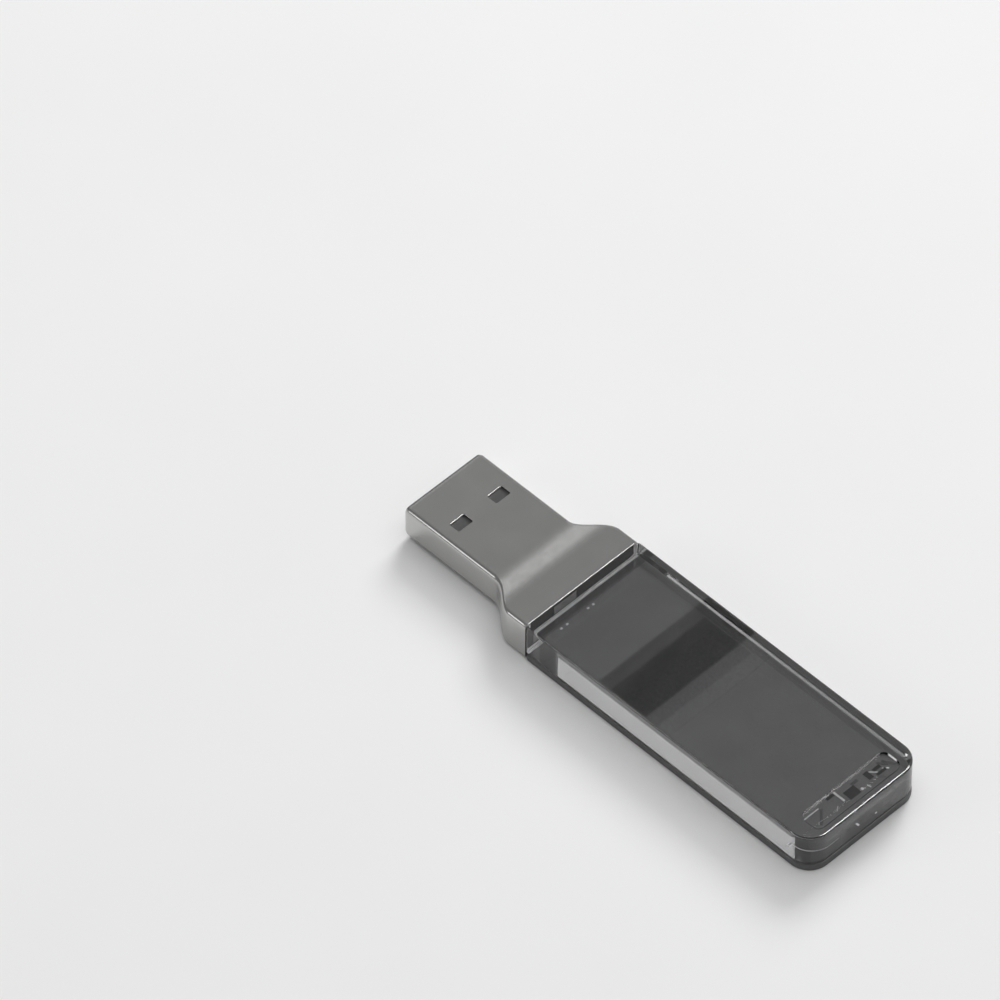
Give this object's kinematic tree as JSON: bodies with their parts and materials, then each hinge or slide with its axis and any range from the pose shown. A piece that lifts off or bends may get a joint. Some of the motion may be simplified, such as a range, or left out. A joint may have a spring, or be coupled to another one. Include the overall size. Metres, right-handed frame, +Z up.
{
  "type": "usb memory stick",
  "caption": "USB-A memory stick: bare metal plug flaring into a collar that holds a clear crystal block lit by internal lamps, on a smoked base plate.",
  "frame": {"origin": "on the surface that the stick lies on, under the middle of its length and width", "axes": "+X from the plug towards the crystal's free end, +Y across the plug, +Z up, out of the top face"},
  "size_m": [0.0662, 0.0178, 0.0056],
  "materials": {
    "satin_steel": "fine satin, soft highlights",
    "moulded_plastic": "matt moulded, mid grey",
    "gold_plating": "gold plated, polished",
    "board_laminate": "solder resist over glass-fibre laminate",
    "chip_epoxy": "matt moulding compound",
    "tinned_cap": "tinned, half gloss",
    "ceramic": "fired ceramic",
    "resistor_body": "lacquered",
    "lamp_resin": "cloudy resin",
    "grey_plastic": "matt moulded",
    "clear_crystal": "polished clear",
    "smoked_plate": "smoked, half gloss",
    "adhesive_tape": "matt black tape",
    "bond_glue": "cured clear glue, cloudy"
  },
  "bodies": {
    "root": {"metal_housing": "satin_steel", "plug_insulator": "moulded_plastic", "contact_power": "gold_plating", "contact_data_minus": "gold_plating", "contact_data_plus": "gold_plating", "contact_ground": "gold_plating", "circuit_board": "board_laminate", "controller_chip": "chip_epoxy", "flash_chip": "chip_epoxy", "oscillator_can": "tinned_cap", "capacitor_supply": "ceramic", "capacitor_core": "ceramic", "capacitor_flash": "ceramic", "capacitor_oscillator": "ceramic", "resistor_lamp_near": "resistor_body", "resistor_lamp_middle": "resistor_body", "ferrite_bead": "resistor_body", "lamp_near": "lamp_resin", "lamp_middle": "lamp_resin", "inner_carrier": "grey_plastic", "crystal_block": "clear_crystal", "base_plate": "smoked_plate", "plate_adhesive_front": "adhesive_tape", "plate_adhesive_middle": "adhesive_tape", "plate_adhesive_rear": "adhesive_tape", "joint_bond": "bond_glue"}
  },
  "joints": []
}
